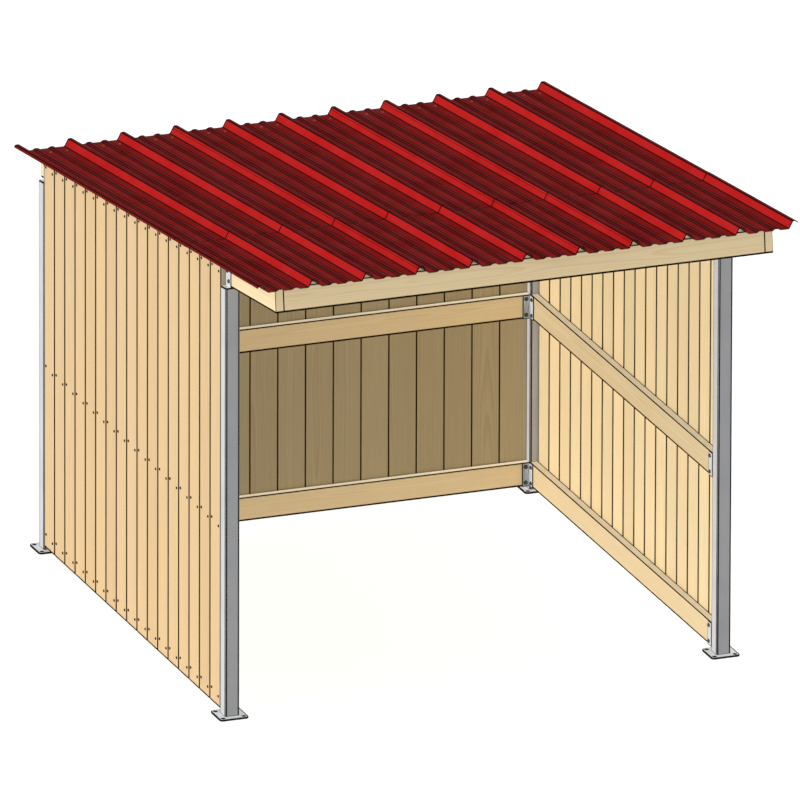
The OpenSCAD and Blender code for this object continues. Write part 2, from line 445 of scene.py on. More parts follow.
class Wiring:
    """Adds nodes to a shader tree and links them."""

    def __init__(self, tree: bpy.types.NodeTree) -> None:
        """Keeps the tree that is wired."""
        self.tree = tree

    def add(
        self, kind: str, inputs: dict[str | int, object] | None = None, **settings: object
    ) -> bpy.types.Node:
        """Adds a node.

        Args:
            kind: The node's type.
            inputs: Values or sockets for its inputs, by name or place.
            settings: Properties of the node.

        Returns:
            The new node.
        """
        node = self.tree.nodes.new(kind)
        for key, value in settings.items():
            setattr(node, key, value)
        for key, value in (inputs or {}).items():
            self.feed(node.inputs[key], value)
        return node

    def feed(self, socket: bpy.types.NodeSocket, value: object) -> None:
        """Links a socket to an input, or sets the input's value."""
        if isinstance(value, bpy.types.NodeSocket):
            self.tree.links.new(value, socket)
        elif isinstance(value, tuple) and socket.type == "RGBA":
            socket.default_value = (*value, 1.0)
        else:
            socket.default_value = value

    def math(self, operation: str, *values: object) -> bpy.types.NodeSocket:
        """Returns the result of a sum on values or sockets."""
        return self.add("ShaderNodeMath", dict(enumerate(values)), operation=operation).outputs[0]

    def vector(self, operation: str, *values: object) -> bpy.types.NodeSocket:
        """Returns the vector that comes of a sum on vectors or sockets."""
        return self.add("ShaderNodeVectorMath", dict(enumerate(values)), operation=operation).outputs[0]

    def noise(self, vector: bpy.types.NodeSocket, scale: Colour, detail: float = 2.0) -> bpy.types.Node:
        """Adds noise that is stretched to its own scale along each axis."""
        stretched = self.vector("MULTIPLY", vector, scale)
        return self.add("ShaderNodeTexNoise", {"Vector": stretched, "Scale": 1.0, "Detail": detail})

    def ramp(self, value: object, start: float, end: float) -> bpy.types.NodeSocket:
        """Returns a smooth step from 0 at the start to 1 at the end."""
        step = self.add("ShaderNodeMapRange", {"Value": value, "From Min": start, "From Max": end})
        step.interpolation_type = "SMOOTHSTEP"
        return step.outputs["Result"]

    def blend(self, share: object, first: object, second: object) -> bpy.types.NodeSocket:
        """Returns a mix of two colours."""
        mix = self.add("ShaderNodeMix", {"Factor": share}, data_type="RGBA")
        self.feed(mix.inputs[6], first)
        self.feed(mix.inputs[7], second)
        return mix.outputs[2]


def new_group(name: str, inputs: dict[str, Socket]) -> tuple[Wiring, bpy.types.Node, bpy.types.Node]:
    """Starts a shader node group that puts out a colour, a roughness and a height.

    Args:
        name: The group's name.
        inputs: Its input sockets' names and kinds.

    Returns:
        The group's wiring, its input node and its output node.
    """
    tree = bpy.data.node_groups.new(name, "ShaderNodeTree")
    outputs = {"Color": Socket.COLOUR, "Roughness": Socket.VALUE, "Height": Socket.VALUE}
    for way, sockets in (("INPUT", inputs), ("OUTPUT", outputs)):
        for label, kind in sockets.items():
            tree.interface.new_socket(name=label, in_out=way, socket_type=kind.value)
    wiring = Wiring(tree)
    return wiring, wiring.add("NodeGroupInput"), wiring.add("NodeGroupOutput")


def grain_group() -> bpy.types.NodeTree:
    """Builds the group that draws growth rings and fibres through a timber.

    Returns:
        The node group.
    """
    name = "timber_grain"
    if name in bpy.data.node_groups:
        return bpy.data.node_groups[name]
    inputs = {
        "Vector": Socket.VECTOR,
        "Tone": Socket.VALUE,
        "Early": Socket.COLOUR,
        "Late": Socket.COLOUR,
        "Ring": Socket.VALUE,
    }
    wiring, source, result = new_group(name, inputs)
    place, tone = source.outputs["Vector"], source.outputs["Tone"]
    warp = wiring.noise(place, (3.0, 3.0, 0.5)).outputs["Color"]
    bent = wiring.vector("MULTIPLY_ADD", warp, (0.06, 0.06, 0.0), place)
    pith_across = wiring.math("MULTIPLY_ADD", tone, -0.24, 0.10)
    mixed = wiring.math("FRACT", wiring.math("MULTIPLY", tone, 7.13))
    pith_deep = wiring.math("MULTIPLY_ADD", mixed, 0.09, -0.12)
    pith = wiring.add("ShaderNodeCombineXYZ", {0: pith_across, 1: pith_deep}).outputs[0]
    flat = wiring.vector("MULTIPLY", wiring.vector("ADD", bent, pith), (1.0, 1.0, 0.0))
    radius = wiring.add("ShaderNodeVectorMath", {0: flat}, operation="LENGTH").outputs["Value"]
    ring = wiring.math("FRACT", wiring.math("DIVIDE", radius, source.outputs["Ring"]))
    late = wiring.math("MULTIPLY", wiring.ramp(ring, 0.25, 0.88), wiring.ramp(ring, 1.0, 0.9))
    fibre = wiring.noise(place, (150.0, 150.0, 2.2), 3.0).outputs["Fac"]
    pore = wiring.noise(place, (900.0, 900.0, 14.0)).outputs["Fac"]
    share = wiring.math("MULTIPLY_ADD", late, 0.55, wiring.math("MULTIPLY_ADD", fibre, 0.9, -0.30))
    share.node.use_clamp = True
    colour = wiring.blend(share, source.outputs["Early"], source.outputs["Late"])
    level = wiring.math("MULTIPLY_ADD", tone, 0.10, 0.95)
    levels = wiring.add("ShaderNodeCombineXYZ", {axis: level for axis in range(3)}).outputs[0]
    wiring.feed(result.inputs["Color"], wiring.vector("MULTIPLY", colour, levels))
    wiring.feed(result.inputs["Roughness"], wiring.math("MULTIPLY_ADD", fibre, 0.22, 0.46))
    wiring.feed(result.inputs["Height"], wiring.math("MULTIPLY_ADD", late, 0.5, pore))
    return wiring.tree


def weather_group() -> bpy.types.NodeTree:
    """Builds the group that gives a metal surface cloudy patches, a fine speckle and runs along Y.

    Returns:
        The node group.
    """
    name = "metal_weather"
    if name in bpy.data.node_groups:
        return bpy.data.node_groups[name]
    inputs = {
        "Vector": Socket.VECTOR,
        "Clean": Socket.COLOUR,
        "Dull": Socket.COLOUR,
        "Run": Socket.VALUE,
        "Rough": Socket.VALUE,
    }
    wiring, source, result = new_group(name, inputs)
    place = source.outputs["Vector"]
    cloud = wiring.ramp(wiring.noise(place, (4.0, 4.0, 4.0), 4.0).outputs["Fac"], 0.35, 0.8)
    runs = wiring.ramp(wiring.noise(place, (24.0, 0.9, 24.0), 3.0).outputs["Fac"], 0.40, 0.75)
    speck = wiring.noise(place, (260.0, 260.0, 260.0), 2.0).outputs["Fac"]
    weathered = wiring.math("MULTIPLY_ADD", runs, source.outputs["Run"], cloud)
    speckled = wiring.math("SUBTRACT", speck, 0.5)
    share = wiring.math("MULTIPLY_ADD", speckled, 0.35, wiring.math("MULTIPLY", weathered, 0.5))
    share.node.use_clamp = True
    wiring.feed(result.inputs["Color"], wiring.blend(share, source.outputs["Clean"], source.outputs["Dull"]))
    wiring.feed(result.inputs["Roughness"], wiring.math("MULTIPLY_ADD", share, 0.25, source.outputs["Rough"]))
    wiring.feed(result.inputs["Height"], speck)
    return wiring.tree


# Finishes


@dataclass(frozen=True)
class Finish:
    """A finish with one shader; its kinds wire the shader's inputs."""

    name: str

    def wire(self, wiring: Wiring, shader: bpy.types.Node) -> None:
        """Links or sets the shader's inputs."""
        raise NotImplementedError

    def material(self) -> bpy.types.Material:
        """Returns the finish's material, built on first use."""
        if self.name in bpy.data.materials:
            return bpy.data.materials[self.name]
        made = bpy.data.materials.new(self.name)
        made.use_nodes = True
        self.wire(Wiring(made.node_tree), made.node_tree.nodes["Principled BSDF"])
        return made

    def link(self, wiring: Wiring, shader: bpy.types.Node, group: bpy.types.Node, depth: float) -> None:
        """Links a group's outputs to the shader.

        Args:
            wiring: The material's wiring.
            shader: The material's shader.
            group: The group, with a colour, a roughness and a height.
            depth: How deep the height goes, as a bump.
        """
        wiring.feed(shader.inputs["Base Color"], group.outputs["Color"])
        wiring.feed(shader.inputs["Roughness"], group.outputs["Roughness"])
        inputs = {"Height": group.outputs["Height"], "Distance": depth, "Strength": BUMP_STRENGTH}
        bump = wiring.add("ShaderNodeBump", inputs)
        wiring.feed(shader.inputs["Normal"], bump.outputs["Normal"])


@dataclass(frozen=True)
class TimberFinish(Finish):
    """Planed softwood with growth rings that run through the piece."""

    early: Colour
    late: Colour
    ring: float = 0.007
    gloss: float = 0.25
    relief: float = 0.0006

    def wire(self, wiring: Wiring, shader: bpy.types.Node) -> None:
        """Links the grain group, which reads the piece's own grain and tone."""
        place = wiring.add("ShaderNodeAttribute", attribute_name="grain").outputs["Vector"]
        tone = wiring.add("ShaderNodeAttribute", attribute_name="tone").outputs["Fac"]
        inputs = {"Vector": place, "Tone": tone, "Early": self.early, "Late": self.late, "Ring": self.ring}
        group = wiring.add("ShaderNodeGroup", inputs, node_tree=grain_group())
        self.link(wiring, shader, group, self.relief)
        shader.inputs["Specular IOR Level"].default_value = self.gloss


@dataclass(frozen=True)
class MetalFinish(Finish):
    """Metal with a cloudy, speckled surface: galvanised, plated or coated."""

    clean: Colour
    dull: Colour
    rough: float = 0.5
    gloss: float = 0.1
    run: float = 0.0
    metallic: float = 0.0
    relief: float = 0.0002

    def wire(self, wiring: Wiring, shader: bpy.types.Node) -> None:
        """Links the weather group on the piece's own coordinates."""
        place = wiring.add("ShaderNodeTexCoord").outputs["Object"]
        inputs = {"Vector": place, "Clean": self.clean, "Dull": self.dull}
        inputs |= {"Run": self.run, "Rough": self.rough}
        group = wiring.add("ShaderNodeGroup", inputs, node_tree=weather_group())
        self.link(wiring, shader, group, self.relief)
        shader.inputs["Metallic"].default_value = self.metallic
        shader.inputs["Specular IOR Level"].default_value = self.gloss


BOARD_FACE = TimberFinish("board_face", srgb(231, 200, 151), srgb(217, 181, 131))
# Painted light: a lighter copy of the board finish for the side walls' inner faces, which lie in the
# shelter's shade.
BOARD_INSIDE_LIT = TimberFinish("board_inside_lit", srgb(254, 232, 184), srgb(244, 215, 166))
BOARD_SHADED = TimberFinish("board_shaded", srgb(176, 161, 127), srgb(161, 145, 111))
# Painted shade: a near-black copy of the board finish for the joints between boards, a band beside each
# board's edges and a band along its foot.
BOARD_JOINT_SHADE = TimberFinish("board_joint_shade", srgb(40, 22, 3), srgb(28, 15, 2), gloss=0.0)
# Painted shade: a darker, greyer copy of the board finish for the faces at each wall's two ends.
BOARD_END_SHADE = TimberFinish("board_end_shade", srgb(186, 170, 146), srgb(168, 151, 126))
FRAME_FACE = TimberFinish("frame_face", srgb(252, 230, 184), srgb(240, 210, 160), ring=0.006)
RAIL_FACE = TimberFinish("rail_face", srgb(238, 217, 173), srgb(225, 198, 150), ring=0.006)
# Painted light: the timbers' tops take their own copies of the rail finish, greyer by the side walls and
# paler by the back wall, for the light that falls on them from above.
RAIL_TOP_LIT = TimberFinish("rail_top_lit", srgb(221, 213, 189), srgb(208, 194, 167), ring=0.006)
BACK_RAIL_TOP_LIT = TimberFinish("back_rail_top_lit", srgb(254, 247, 222), srgb(244, 232, 204), ring=0.006)
# Painted shade: a near-black copy of the timber finish for the eased edges and for bands along the edges, at
# the ends and by the wall.
FRAME_EDGE_SHADE = TimberFinish("frame_edge_shade", srgb(44, 28, 9), srgb(32, 20, 6), ring=0.006, gloss=0.0)
GALVANISED = MetalFinish("galvanised", srgb(214, 215, 217), srgb(196, 198, 201))
# Painted shade: a darker copy of the galvanised finish for the fronts of the posts and corner lugs.
GALVANISED_FRONT_SHADE = MetalFinish("galvanised_front_shade", srgb(181, 182, 184), srgb(164, 166, 169))
GALVANISED_PLATE = MetalFinish("galvanised_plate", srgb(226, 228, 229), srgb(207, 209, 211))
# Painted shade: near-black for the steel pieces' edges, corners, sides and holes.
STEEL_EDGE_SHADE = MetalFinish("steel_edge_shade", srgb(34, 35, 37), srgb(24, 25, 27), rough=0.6, gloss=0.02)
PLATED = MetalFinish("plated_fixing", srgb(84, 84, 86), srgb(62, 62, 64), rough=0.45, gloss=0.2, metallic=0.2)
BLACKENED = MetalFinish("blackened_fixing", srgb(20, 17, 14), srgb(12, 10, 8), rough=0.6, gloss=0.02)
RED_COAT = MetalFinish("red_coat", srgb(183, 23, 21), srgb(169, 18, 17), rough=0.55, gloss=0.02, run=0.4)
# Painted shade: a darker copy of the red coat for the pans, beads, crests and verge, leaving the rib flanks
# in the brighter coat.
RED_FLAT_SHADE = MetalFinish("red_flat_shade", srgb(130, 16, 14), srgb(114, 13, 12), rough=0.6, gloss=0.01, run=0.4)
# Painted shade: near-black on the sheets' rounded bends, cut ends, side edges and the bands at the crests'
# edges.
RED_FOLD_SHADE = MetalFinish("red_fold_shade", srgb(24, 4, 4), srgb(16, 3, 3), rough=0.6, gloss=0.01, run=0.4)
# Painted shade: a dark copy of the red coat for the sheets' undersides.
UNDERSIDE_SHADE = MetalFinish("underside_shade", srgb(70, 24, 20), srgb(56, 18, 15), rough=0.6, gloss=0.02, run=0.4)
ROOF_FIXING = MetalFinish("roof_fixing", srgb(140, 74, 60), srgb(116, 58, 46), metallic=0.1)


def dress(obj: bpy.types.Object, *finishes: Finish) -> None:
    """Gives a piece its finishes, one for each of its material places."""
    for place, finish in enumerate(finishes):
        if place < len(obj.material_slots):
            obj.material_slots[place].material = finish.material()
        else:
            obj.data.materials.append(finish.material())


# Sub-assemblies


@dataclass(frozen=True)
class RoofFrame:
    """Frame of the roof: X across, Y down the slope from the rafters' front ends, Z square to it."""

    slope: float
    corner: Vector
    depth: float

    @classmethod
    def from_nodes(cls) -> RoofFrame:
        """Reads the slope from the walls' tops and the corner from a rafter.

        Returns:
            The roof's frame.
        """
        side_low, side_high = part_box("left_wall")
        back_low, back_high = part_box("back_wall")
        slope = math.atan2(side_high.z - back_high.z, back_low.y - side_low.y)
        rail_low, rail_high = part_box("left_lower_rail")
        depth = rail_high.z - rail_low.z
        rafter_low, rafter_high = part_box("left_rafter")
        return cls(slope, Vector((0.0, rafter_low.y, rafter_high.z - depth * math.cos(slope))), depth)

    @property
    def matrix(self) -> Matrix:
        """Turns places in the roof's frame into places in the shelter's."""
        return Matrix.Translation(self.corner) @ Matrix.Rotation(-self.slope, 4, "X")

    @property
    def normal(self) -> Vector:
        """Direction square to the roof, upwards."""
        return Vector((0.0, math.sin(self.slope), math.cos(self.slope)))

    def underside(self, y: float) -> float:
        """Returns the height of the rafters' underside at a place between front and back."""
        return self.corner.z - (y - self.corner.y) * math.tan(self.slope)

    def down(self, y: float) -> float:
        """Returns how far down the slope a point of the rafters' underside is."""
        return (y - self.corner.y) / math.cos(self.slope)


@dataclass
class BoardedWall:
    """Upright boards, tongued and grooved, with a chamfer on each edge."""

    side: Side
    roof: RoofFrame
    draw: random.Random
    cover: float = 0.176
    gap: float = 0.0016
    chamfer: float = 0.0036
    side_shade_band: float = 0.0064
    back_shade_band: float = 0.0004
    foot_shade_band: float = 0.010
    tongue: float = 0.010
    tongue_depth: float = 0.009
    screw_inset: float = 0.0325
    screw_stagger: float = 0.0105
    screw_rise: float = 0.092

    def __post_init__(self) -> None:
        """Reads the wall's place and spreads the boards evenly along it."""
        self.node = f"{self.side.value}_wall"
        self.low, self.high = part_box(self.node)
        span = self.high - self.low
        self.length, self.thick = (span.x, span.y) if self.side is Side.BACK else (span.y, span.x)
        self.count = round(self.length / self.cover)
        self.cover = self.length / self.count

    @property
    def matrix(self) -> Matrix:
        """Turns places along, through and up the wall into places in the shelter."""
        if self.side is Side.LEFT:
            corner, turn = (self.high.x, self.low.y, self.low.z), math.pi / 2
        elif self.side is Side.RIGHT:
            corner, turn = (self.low.x, self.high.y, self.low.z), -math.pi / 2
        else:
            corner, turn = (self.low.x, self.low.y, self.low.z), 0.0
        return Matrix.Translation(corner) @ Matrix.Rotation(turn, 4, "Z")

    def board(self, grooved: bool) -> bpy.types.Object:
        """Models one board with its tongue, groove and chamfers.

        Args:
            grooved: Whether it has a groove; a wall's first board has none.

        Returns:
            The board, standing at the wall's start.
        """
        left, right = self.gap / 2, self.cover - self.gap / 2
        height = self.high.z - self.low.z
        board = add_block("board", Vector((left, 0.0, 0.0)), Vector((right, self.thick, height)))
        at_back = self.side is Side.BACK
        dress(board, BOARD_FACE, BOARD_JOINT_SHADE, BOARD_SHADED if at_back else BOARD_INSIDE_LIT, BOARD_END_SHADE)
        ways = {1: self.tongue_depth}
        if grooved:
            ways[-1] = self.tongue_depth + self.gap
        core, reach = self.thick / 2, self.tongue / 2
        band = self.chamfer + (self.back_shade_band if at_back else self.side_shade_band)

        def on_corner(edge: bmesh.types.BMEdge) -> bool:
            """Says whether an edge is one of the board's long corners."""
            at = middle(edge)
            by_side = min(abs(at.x - left), abs(at.x - right)) < NEAR
            return runs_along(edge, Axis.Z) and by_side and min(abs(at.y), abs(at.y - self.thick)) < NEAR

        with edit_mode(board):
            cut_square(Axis.X, left + band, right - band)
            cut_square(Axis.Z, self.foot_shade_band)
            cut_square(Axis.Y, core - reach, core + reach)
            for way, depth in ways.items():
                select_faces(board, lambda at, out: out.x * way > SQUARE and abs(at.y - core) < reach)
                bpy.ops.mesh.extrude_region_move(TRANSFORM_OT_translate={"value": (depth, 0.0, 0.0)})
            select_edges(board, on_corner)
            bpy.ops.mesh.bevel(offset=self.chamfer, segments=1)
        # Painted shade: the tongue, groove and chamfer faces, a band beside each edge and a band along the
        # foot take the near-black joint finish.
        for face in board.data.polygons:
            from_edge = min(face.center.x - left, right - face.center.x)
            if abs(face.normal.x) > HALF or from_edge < band or face.center.z < self.foot_shade_band:
                face.material_index = BoardPlace.JOINT
            # Painted light and shade: the inner face takes a lighter copy of the board finish on the side
            # walls and a darker one on the back wall.
            elif face.normal.y < -HALF:
                face.material_index = BoardPlace.INSIDE
        return board

    def build(self) -> bpy.types.Object:
        """Sets the boards side by side and cuts their tops to the roof.

        Returns:
            The finished wall.
        """
        first, master = self.board(False), self.board(True)
        to_wall = self.matrix.inverted()
        crest = to_wall @ Vector((0.0, self.low.y, self.high.z))
        rise = to_wall.to_3x3() @ self.roof.normal
        copies = []
        for place in range(self.count):
            twin = copy_of(master if place else first)
            set_grain(twin, Vector((self.cover / 2, self.thick / 2, 0.0)), Axis.Z, self.draw)
            twin.data.transform(Matrix.Translation((place * self.cover, 0.0, 0.0)))
            with edit_mode(twin):
                cut(crest, rise, trim=True)
                if place == self.count - 1:
                    cut_square(Axis.X, self.length, trim=True)
            copies.append(twin)
        bpy.data.objects.remove(first)
        bpy.data.objects.remove(master)
        wall = join(copies, f"{self.side.value}_wall_boards")
        # Painted shade: the faces at the wall's two ends take the darker end finish.
        for face in wall.data.polygons:
            from_end = min(face.center.x, self.length - face.center.x)
            if abs(face.normal.x) > SQUARE and from_end < self.gap:
                face.material_index = BoardPlace.END
        settle(wall, self.matrix)
        hand_over(wall, Slot.BOARDS, self.node)
        return wall

    def screw_places(self) -> list[Place]:
        """Finds where the boards are screwed to the rails and to the rafter or the top rail.

        Returns:
            The places on the wall's outer face, and the way out.
        """
        levels = [rail_level(self.side.value, rail) for rail in ("lower", "upper")]
        out = (self.matrix.to_3x3() @ Axis.Y.unit).normalized()
        places = []
        for board in range(self.count):
            start, end = board * self.cover + self.screw_inset, (board + 1) * self.cover - self.screw_inset
            for along, shift in ((start, -self.screw_stagger), (end, self.screw_stagger)):
                point = self.matrix @ Vector((along, self.thick, 0.0))
                for level in (*levels, self.roof.underside(point.y) + self.screw_rise):
                    places.append((Vector((point.x, point.y, level + shift)), out))
        return places


@dataclass
class Timber:
    """A planed timber with eased edges."""

    node: str
    grain: Axis
    draw: random.Random
    roof: RoofFrame
    on_slope: bool = False
    finish: TimberFinish = FRAME_FACE
    wall: Side | None = None
    wall_shade_band: float = 0.008
    ease: float = 0.003
    band: float = 0.0045
    foot_shade_band: float = 0.009
    end_shade_band: float = 0.002
    flat: float = 0.99

    def wall_strip(self, low: Vector, high: Vector) -> Place | None:
        """Finds the strip along the wall on a rail's top, which takes painted shade.

        Args:
            low: The timber's lowest corner.
            high: The timber's highest corner.

        Returns:
            A point on the strip's inner edge and the way out to the wall; nothing for a timber by no wall.
        """
        if self.wall is None:
            return None
        outwards = self.wall.outwards
        corner = low if self.wall is Side.LEFT else high
        return corner - outwards * self.wall_shade_band, outwards

    def corners(self) -> tuple[Vector, Vector]:
        """Returns the timber's corners, in the roof's frame where it lies on the slope."""
        low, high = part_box(self.node)
        if not self.on_slope:
            return low, high
        run = self.roof.depth * math.sin(self.roof.slope)
        start = self.roof.down(low.y)
        end = self.roof.down(high.y - run)
        return Vector((low.x, start, 0.0)), Vector((high.x, end, self.roof.depth))

    def build(self) -> bpy.types.Object:
        """Models the timber in its node's place.

        Returns:
            The finished timber.
        """
        low, high = self.corners()
        timber = add_block(f"{self.node}_timber", low, high)
        dress(timber, self.finish, FRAME_EDGE_SHADE, BACK_RAIL_TOP_LIT if self.wall is Side.BACK else RAIL_TOP_LIT)
        edge, foot, end = (self.ease + band for band in (self.band, self.foot_shade_band, self.end_shade_band))
        run = self.grain
        strip = self.wall_strip(low, high)
        with edit_mode(timber):
            if self.node == "back_top_rail":
                cut(self.roof.matrix @ Vector((0.0, 0.0, self.roof.depth)), self.roof.normal, trim=True)
            bpy.ops.mesh.select_all(action="SELECT")
            bpy.ops.mesh.bevel(offset=self.ease, segments=2)
            cut_square(Axis.Z, low.z + foot, high.z - edge)
            cut_square(run, low[run] + end, high[run] - end)
            if strip:
                cut(*strip)
        # Painted shade: eased edges, bands along the upright faces' top and bottom edges and ends, and the
        # strip by the wall take the near-black edge finish.
        for face in timber.data.polygons:
            at, out = face.center, face.normal
            upright = abs(out.z) < HALF
            by_wall = strip is not None and not upright and (at - strip[0]).dot(strip[1]) > 0.0
            by_edge = at.z - low.z < foot or high.z - at.z < edge
            by_end = abs(out[run]) < HALF and min(at[run] - low[run], high[run] - at[run]) < end
            if max(abs(part) for part in out) < self.flat or by_wall or upright and (by_edge or by_end):
                face.material_index = TimberPlace.EDGE
            # Painted light: faces that look up take the lit top copy of the finish.
            elif out.z > HALF:
                face.material_index = TimberPlace.TOP
        set_grain(timber, (low + high) / 2, self.grain, self.draw)
        if self.on_slope:
            settle(timber, self.roof.matrix)
        hand_over(timber, Slot.TIMBER, self.node)
        return timber


@dataclass
class RoofSheet:
    """A ribbed sheet with a covering lip on its left and a covered leg on its right."""

    node: str
    first_rib: int
    last_rib: int
    upper: bool
    rib_zero: float
    roof: RoofFrame
    pitch: float = 0.33333
    thick: float = 0.00075
    rib_height: float = 0.045
    rib_top: float = 0.024
    rib_flank: float = 0.027
    bead_height: float = 0.009
    bead_foot: float = 0.046
    bead_top: float = 0.023
    bead_spacing: float = 0.098
    lip_drop: float = 0.015
    leg_drop: float = 0.015
    lift: float = 0.0009
    bend: float = 0.0052
    crest_shade_band: float = 0.008
    lip_shade_band: float = 0.0015
    leg_shade_band: float = 0.0065
    cut_end_shade_band: float = 0.016
    upper_span: tuple[float, float] = (-0.080, 1.336)
    lower_span: tuple[float, float] = (1.136, 4.080)
    seat: float = 0.0002
    under: float = -0.1

    def __post_init__(self) -> None:
        """Finds the sheet's ends down the slope, its ribs' middles and its bends."""
        self.start, self.end = self.upper_span if self.upper else self.lower_span
        ribs = range(self.first_rib, self.last_rib + 1)
        self.crowns = [self.rib_zero + rib * self.pitch for rib in ribs]
        self.bends = self.section()

    def section(self) -> list[tuple[float, float]]:
        """Lists the bends of the sheet's section from left to right, as across and up.

        Returns:
            The bends, with the free edges first and last.
        """
        half, lean = self.rib_top / 2, self.rib_flank / self.rib_height
        lift = self.lift if self.first_rib > 0 else 0.0
        crest = self.rib_height + lift
        start = self.crowns[0]
        bends = [
            (start - half - self.lip_drop * lean, crest - self.lip_drop),
            (start - half, crest),
            (start + half, crest),
            (start + half + crest * lean, 0.0),
        ]
        for rib in range(self.first_rib, self.last_rib):
            for shift in (-self.bead_spacing / 2, self.bead_spacing / 2):
                bead = self.rib_zero + (rib + 0.5) * self.pitch + shift
                bends += [
                    (bead - self.bead_foot / 2, 0.0),
                    (bead - self.bead_top / 2, self.bead_height),
                    (bead + self.bead_top / 2, self.bead_height),
                    (bead + self.bead_foot / 2, 0.0),
                ]
            crown = self.rib_zero + (rib + 1) * self.pitch
            bends += [
                (crown - half - self.rib_flank, 0.0),
                (crown - half, self.rib_height),
                (crown + half, self.rib_height),
            ]
            if rib + 1 < self.last_rib:
                bends.append((crown + half + self.rib_flank, 0.0))
            else:
                bends.append((crown + half + self.leg_drop * lean, self.rib_height - self.leg_drop))
        return bends

    def fold(self) -> bpy.types.Object:
        """Folds a flat sheet along its bends and rounds them.

        Returns:
            The sheet, without thickness, in the roof's frame.
        """
        left, right = self.bends[0][0], self.bends[-1][0]
        deselect_all()
        centre = ((left + right) / 2, (self.start + self.end) / 2, 0.0)
        bpy.ops.mesh.primitive_plane_add(size=1.0, location=centre)
        sheet = bpy.context.object
        sheet.name = f"{self.node}_folded"
        sheet.scale = (right - left, self.end - self.start, 1.0)
        bpy.ops.object.transform_apply(location=True, rotation=True, scale=True)
        dress(sheet, RED_COAT, RED_FOLD_SHADE, RED_FLAT_SHADE, UNDERSIDE_SHADE)
        inner = self.rib_top / 2 - self.crest_shade_band
        with edit_mode(sheet):
            # Painted shade: cuts for bands of the near-black fold finish along the sheet's ends.
            cut_square(Axis.Y, self.start + self.cut_end_shade_band, self.end - self.cut_end_shade_band)
            cut_square(Axis.X, *(across for across, _ in self.bends[1:-1]))
            for level in sorted({up for _, up in self.bends if up > 0.0}):
                lines = [across for across, up in self.bends if up == level]
                select_points(sheet, lambda at: min(abs(at.x - line) for line in lines) < NEAR)
                bpy.ops.transform.translate(value=(0.0, 0.0, level))
            select_edges(sheet, lambda edge: runs_along(edge, Axis.Y) and not edge.is_boundary)
            # Painted shade: the rounded bends take the near-black fold finish.
            bpy.ops.mesh.bevel(offset=self.bend, segments=2, material=SheetPlace.FOLD)
            # Painted shade: cuts for bands of the fold finish at the crests' edges and the side edges.
            bands = [crown + way * inner for crown in self.crowns for way in (-1, 1)]
            cut_square(Axis.X, left + self.lip_shade_band, *bands, right - self.leg_shade_band)
        return sheet

    def shade(self, sheet: bpy.types.Object) -> None:
        """Paints shade on the sheet: near-black on the folds, ends, side edges and crest bands, and a darker
        copy of the coat on crests and pans.

        Args:
            sheet: The folded sheet, before it has its thickness.
        """
        left, right = self.bends[0][0], self.bends[-1][0]
        inner = self.rib_top / 2 - self.crest_shade_band
        for face in sheet.data.polygons:
            at = face.center
            from_end = min(at.y - self.start, self.end - at.y)
            by_side = at.x - left < self.lip_shade_band or right - at.x < self.leg_shade_band
            from_crown = min(abs(at.x - crown) for crown in self.crowns)
            on_crest = from_crown < self.rib_top / 2
            on_verge = self.first_rib == 0 and at.x < self.bends[1][0]
            low = at.z < self.bead_height + self.lift
            # Painted shade: ends, side edges and crest edges take the near-black fold finish.
            if from_end < self.cut_end_shade_band or by_side or on_crest and from_crown > inner:
                face.material_index = SheetPlace.FOLD
            # Painted shade: crests, the verge and the low parts of the pans take the darker copy of the coat.
            elif face.material_index == SheetPlace.COAT and (on_crest or on_verge or low):
                face.material_index = SheetPlace.FLAT

    def build(self) -> bpy.types.Object:
        """Folds the sheet, gives it its thickness and lays it on the roof.

        Returns:
            The finished sheet.
        """
        sheet = self.fold()
        self.shade(sheet)
        solid = sheet.modifiers.new("thickness", "SOLIDIFY")
        solid.thickness = self.thick
        solid.offset = 1.0
        bpy.ops.object.modifier_apply(modifier=solid.name)
        # Painted shade: faces that look down take the dark underside finish.
        for face in sheet.data.polygons:
            if face.normal.z < self.under and face.material_index != SheetPlace.FOLD:
                face.material_index = SheetPlace.BACK
        bpy.ops.object.shade_smooth_by_angle(angle=SMOOTH)
        tilt = math.atan(2 * self.lift / self.lower_span[0]) if self.upper else 0.0
        rest = Matrix.Translation((0.0, 0.0, self.roof.depth + self.seat)) @ Matrix.Rotation(tilt, 4, "X")
        settle(sheet, self.roof.matrix @ rest)
        hand_over(sheet, Slot.SHEET, self.node)
        return sheet


@dataclass(frozen=True)
class ScrewHead:
    """A raised screw head with a driver's recess."""

    radius: float = 0.0085
    proud: float = 0.0040
    sides: int = 12
    ease: float = 0.4
    rim: float = 0.4

    def build(self) -> bpy.types.Object:
        """Models the head on the origin, facing +Z.

        Returns:
            The head.
        """
        head = add_drum(self.sides, self.radius, -self.proud, self.proud, self.proud * self.ease)
        dress(head, BLACKENED)
        with edit_mode(head):
            select_faces(head, faces_up)
            bpy.ops.mesh.inset(thickness=self.radius * self.rim)
            bpy.ops.mesh.extrude_region_move(TRANSFORM_OT_translate={"value": (0.0, 0.0, -self.proud / 2)})
        return head


@dataclass(frozen=True)
class HexBolt:
    """A hexagon head on a round washer."""

    across: float = 0.017
    height: float = 0.0065
    washer_radius: float = 0.013
    washer_thick: float = 0.0025
    head_finish: MetalFinish = PLATED
    washer_finish: MetalFinish = BLACKENED
    washer_sides: int = 24
    washer_ease: float = 0.3
    head_sides: int = 6
    head_ease: float = 0.15

    def build(self) -> bpy.types.Object:
        """Models the washer and head on the origin, facing +Z.

        Returns:
            The bolt.
        """
        foot, top = self.washer_thick, self.washer_thick + self.height
        washer = add_drum(self.washer_sides, self.washer_radius, 0.0, foot, foot * self.washer_ease)
        dress(washer, self.washer_finish)
        corner = self.across / math.sqrt(3)
        head = add_drum(self.head_sides, corner, foot, top, self.height * self.head_ease, segments=2)
        dress(head, self.head_finish)
        return join([washer, head], "bolt")


